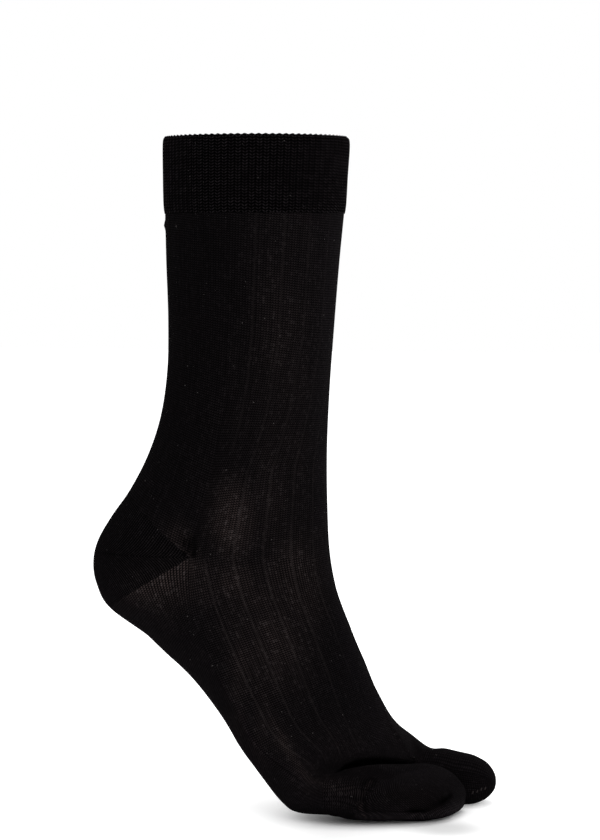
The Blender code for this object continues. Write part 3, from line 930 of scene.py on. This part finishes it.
def crease(points, foot, pocket):
    """Presses the crease over the four toes into the points; 0 to 1, how much shade is painted into it
    at each.
    """
    # a slit along the split
    share, run = np.zeros(len(points)), np.zeros(len(points))
    from_end = distance_down(points[foot][::-1])[::-1]
    for grid, line, far in ((foot, points[foot[-1]], -from_end),
                            (pocket, points[pocket[0]], distance_down(points[pocket]))):
        at = np.interp(line[:, 1], *CREASE_SHARE, left=0, right=0) * (line[:, 2] > CREASE_BOTTOM)
        share[grid] = at[None, :]
        run[grid] = far
    slit = fade(run, CREASE_HALF) * share
    points[:, 2] -= CREASE_DEPTH * slit

    # its mouth stands over the pocket's outline: painted black for the shade inside it, sunk, with a
    # rounded lip above it
    right = points @ RIGHT
    upper = ramp(points[:, 2], -306, -298) * (points[:, 1] < CLEFT_Y)
    points[:, 2] -= SAG * fade(right - SAG_RIGHT, SAG_REACH) * upper
    height = points @ UP
    outer = np.unique(pocket)
    stops = np.arange(right[outer].min(), right[outer].max(), 1.0)
    crest = np.array([height[outer][np.abs(right[outer] - stop) < 1.2].max() for stop in stops])
    above = height - np.interp(right, stops, crest)
    mouth = np.zeros(len(points), bool)
    mouth[foot[-MOUTH_ROWS:][:, FROM_FRONT < MOUTH_TURN]] = True
    tall = np.interp(right, *MOUTH, left=0, right=0) * mouth
    dark = ramp(above, -MOUTH_OVERLAP, MOUTH_EDGE - MOUTH_OVERLAP)
    dark = dark * ramp(tall - above, 0, MOUTH_EDGE) * (tall > 0.3)
    share = np.clip(tall / 2.0, 0, 1)
    sunk = np.clip((above + SUNK_FROM) / (tall + SUNK_FROM + 1e-6), 0, 1)
    sunk = np.sin(np.pi * sunk) ** 2 * share
    over = above - tall - LIP_GAP
    lip = fade(over, np.where(over > 0, LIP_ABOVE, LIP_BELOW)) * share
    outward = outward_of(points[foot], True)
    points[foot] += outward * (LIP_PROUD * lip - MOUTH_DEPTH * sunk)[foot][..., None]
    # the painted shade: black over the mouth and along the slit's deepest part
    return np.maximum(dark, np.clip(slit * 1.5 - 0.4, 0, 1))


def joined_foot():
    """The foot and both pockets, smooth across the split, and the shade painted into the crease on
    them.
    """
    foot = foot_rings()
    points = [foot.reshape(-1, 3)]
    index = np.arange(len(foot) * AROUND).reshape(len(foot), AROUND)
    ease = ramp(np.arange(len(foot)) - (len(foot) - 1 - SMOOTH_ROWS), 0, EASED_OVER)
    weight = [np.repeat(ease, AROUND)]
    total = len(foot) * AROUND
    grids = [index]
    for table, tip, first, end, side in (
        (TOE_BIG, TOE_BIG_TIP, CLEFT_TOP, CLEFT_BOTTOM, 1),
        (TOE_OUTER, TOE_OUTER_TIP, CLEFT_BOTTOM, COARSE + CLEFT_TOP, -1),
    ):
        grid, shared = toe_rows(table, tip, first, end, side)
        rows, columns = grid.shape[:2]
        own = np.arange(rows * columns).reshape(rows, columns) + total
        points.append(grid.reshape(-1, 3))
        weight.append(np.repeat(ramp(SMOOTH_ROWS - np.arange(rows), 0, EASED_OVER), columns))
        total += rows * columns
        own[0, : len(shared)] = index[-1, (np.array(shared) + AROUND // 2) % AROUND]
        grids.append(own)
    points = eased(np.vstack(points), np.concatenate(weight)[:, None], grids)
    swell(points, index)
    dark = crease(points, index, grids[-1])
    points[:, 2] = np.maximum(points[:, 2], FLOOR_Z)
    return [(points[grid], dark[grid]) for grid in grids]


FOOT_LADDERS = 84  # degrees from the front to the last ladder line
LADDER_ENDS = 6  # rings over which the ladders end, before the last rings
LADDER_LOST = ((0.0, 0.25, 0.55), (0.2, 0.3, 1.0))  # in front, by share of the foot's rings
FOOT_PALE = ((-300, -270, -220), (0.18, 0.10, 0.0))  # by height
ANKLE_DENSE, ANKLE, ANKLE_REACH = 1.3, (38, 31, 206), (20, 20, 14)
# As for the leg, which the foot's first ring continues; the lean is by share of its rings
FOOT_TWIST = 12.0
FOOT_TWIST_POWER = ((0, 14), (0.4, 1.0))
FOOT_LEAN = ((0, 0.35, 0.7, 1), (9.0, 8.0, 4.0, 2.0))


def build_foot(grid, dark):
    rings = np.arange(len(grid))
    share = np.linspace(0, 1, len(grid))
    laddered = (FROM_FRONT < FOOT_LADDERS)[None, :]
    ending = ramp(len(grid) - 1 - rings - LAST_FINE, 0, LADDER_ENDS)[:, None]
    lost = np.interp(share, *LADDER_LOST)[:, None] * (1 - ramp(np.abs(TURNS), 0.45, 0.95)[None, :])
    from_ankle = (((np.abs(grid) - ANKLE) / ANKLE_REACH) ** 2).sum(-1)
    marks = {
        "sheer": thinness(grid),
        "seam_and_shade": dark,
        "ladder": laddered * ending * (1 - lost),
        "dense": ANKLE_DENSE * np.exp(-from_ankle),
        "pale": np.interp(grid[..., 2], *FOOT_PALE),
    }
    wale = twisted(np.full(len(grid), FOOT_TWIST), np.interp(rings, *FOOT_TWIST_POWER))
    course = courses_of(grid, np.interp(share, *FOOT_LEAN))
    foot = shell("foot_knit", grid, True, WALL, wale, course, marks, black)
    dress(foot, "foot")


# ---- the toe pockets ----

GIRTH_ROW = 16  # the ring whose girth sets a pocket's wales
TOE_DENSE, TOE_PALE = 0.6, 0.24  # of the big toe's knit, from rings 4 to 16 on
GORE = np.array([62.0, -44.0, -308.5])  # the toe cap's corner on the outer side
CAP_AHEAD = np.array([0.89, -0.45, 0.0])  # forward from that corner, along the cap
CAP_START = 1.02  # the angle about the corner at which the cap starts, from straight ahead
GORE_LINE = (
    (66.7, -40.3, -297.7), (62.4, -43.6, -303.8), (62.0, -44.2, -307.8), (63.3, -43.6, -310.2),
    (64.5, -40.9, -315.3),
)
MITRE_LINE = (
    (64.5, -43.0, -310.6), (71.1, -40.8, -310.8), (83.8, -34.5, -311.8), (89.9, -30.1, -311.9),
    (97.4, -23.3, -308.2), (99.0, -17.4, -306.9),
)
DIMPLE_LINE = MITRE_LINE[2:]
DIMPLE_DEPTH, DIMPLE_HALF = 0.9, 2.2
CAP_MIDDLE, CAP_HALF = (70.0, -4.0), (33.0, 41.0)
CAP_WALE, CAP_TURN, CAP_REACH = 1.15, 38.0, 36.0  # mm, and mm to a radian and to a half
BOW, BOW_OVER = 0.09, 6  # how the cap's wales curve away from its mitre, and over how many mm


def cap_knit(grid):
    """The knit coordinates of the four-toe pocket's cap, and where they hold."""
    out = grid - GORE
    forward = (out * CAP_AHEAD).sum(-1)
    angle = np.arctan2(out[..., 2], forward)
    past = angle < CAP_START + 0.10 * np.sin(forward / 9.0)
    past |= grid[..., 2] < GORE[2]
    past &= forward > -2
    from_middle = (grid[..., :2] - CAP_MIDDLE) / CAP_HALF
    turned = np.arctan2(from_middle[..., 1], from_middle[..., 0])
    radius = np.hypot(from_middle[..., 0], from_middle[..., 1])
    climb = np.abs(grid[..., 2] + 304.0 - 0.35 * np.clip(grid[..., 0] - GORE[0], 0, 30))
    start = np.clip(climb, 0, BOW_OVER)
    wale = (CAP_TURN * turned - BOW * start * (2 * climb - start)) / CAP_WALE
    return wale, (CAP_REACH * radius - grid[..., 2]) / COURSE, past


def cap_marks(grid, past, sheer, slit):
    """The cap's gore and mitre, painted shade along the mitre and in the dimple at its end, and where
    the cap is paler, with painted light on its crest and low on its outer side.
    """
    height = grid[..., 2]
    gore, mitre = near_line(grid, GORE_LINE), near_line(grid, MITRE_LINE)
    dimple = near_line(grid, DIMPLE_LINE)
    below = fade(mitre - 2.6, 1.6) * (height < -311.5)  # a thin strip beside the mitre
    band = fade(height + 314.5, 3.5) * (grid[..., 1] < 0)  # low on the outer side, which faces down; the paler colour there is painted light
    # painted light on the cap's upper part
    crest = ramp(height, -303, -296)
    # dark lines beside the gore, and painted shade along the mitre and in the dimple
    dark = 0.5 * fade(gore - 1.7, 0.6) + 0.55 * fade(mitre, 0.7) + 0.85 * fade(dimple, 1.5)
    return {
        "sheer": np.maximum(sheer, 0.5 * fade(gore, 0.9) + 0.12 * below),
        "seam_and_shade": np.clip(np.maximum(slit, dark), 0, 1),
        "dense": past * (1.5 + 0.2 * band),
        "pale": past * (2.6 * band + 0.65 * crest + 0.28),
    }


def build_toe(name, node, grid, dark, tip, flat, capped):
    ring, columns = grid[GIRTH_ROW], grid.shape[1]
    girth = np.linalg.norm(np.roll(ring, -1, axis=0) - ring, axis=1).sum()
    wales = np.arange(columns + 1) * round(girth / CLOSE_WALE) / columns
    course = distance_down(grid) / COURSE
    cap = None
    if capped:
        cap = cap_knit(grid)
        marks = cap_marks(grid, cap[-1], thinness(grid), dark)
        dimple = fade(near_line(grid, DIMPLE_LINE), DIMPLE_HALF)
        grid = grid - outward_of(grid, True) * (DIMPLE_DEPTH * dimple)[..., None]
    else:
        closer = np.repeat(ramp(np.arange(len(grid)), 4, 16)[:, None], columns, axis=1)
        marks = {"sheer": thinness(grid), "seam_and_shade": dark, "dense": TOE_DENSE * closer,
                 "pale": TOE_PALE * closer}
    toe = shell(name, grid, True, WALL, np.tile(wales, (len(grid), 1)), course, marks, black, tip, cap)
    dress(toe, node)


LINKS = ((102.9, 16.0, -311.7), (104.9, 16.9, -311.3), (106.7, 17.7, -310.3), (108.3, 19.1, -310.1))
LINK_OUT = (0.1, -0.2, 0.4)  # from those points to the stitches' middles
LINK_THICK, LINK_LONG, LINK_LEAN = 0.42, 0.8, 0.35
LINK_AROUND, LINK_DOWN = 10, 6


def build_links():
    """The four plain stitches that close the big toe's pocket."""
    tilt = np.pi * np.arange(LINK_DOWN + 1)[:, None] / LINK_DOWN
    turn = 2 * np.pi * np.arange(LINK_AROUND)[None, :] / LINK_AROUND
    x, y = LINK_THICK * np.sin(tilt) * np.cos(turn), LINK_THICK * np.sin(tilt) * np.sin(turn)
    z = LINK_LONG * np.cos(tilt) + 0 * turn
    stitch = np.stack([x + LINK_LEAN * z, y, z], axis=-1).reshape(-1, 3)
    points = np.vstack([place + stitch for place in np.array(LINKS) + LINK_OUT])
    faces = []
    for start in range(0, len(points), len(stitch)):
        for i in range(LINK_DOWN):
            for k in range(LINK_AROUND):
                n = (k + 1) % LINK_AROUND
                a = start + i * LINK_AROUND
                faces.append([a + k, a + LINK_AROUND + k, a + LINK_AROUND + n, a + n])
    mesh = new_mesh("toe_links", points, faces, thread_material())
    mesh.shade_smooth()
    links = placed("toe_links", mesh)
    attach(links, "root")


build_cuff()
build_leg()
build_heel()
foot_parts, big_parts, outer_parts = joined_foot()
build_foot(*foot_parts)
build_toe("toe_cap_big", "toe_big", *big_parts, TOE_BIG_TIP, (0.088, 0.031), False)
build_toe("toe_cap_four", "toe_outer", *outer_parts, TOE_OUTER_TIP, (0.13, 0.041), True)
build_links()

corners = np.array([(-1, -1, 0), (1, -1, 0), (1, 1, 0), (-1, 1, 0)]) * FLOOR_HALF + (0, 0, FLOOR_Z)
floor = placed("floor", new_mesh("floor", corners, [(0, 1, 2, 3)], floor_material()))
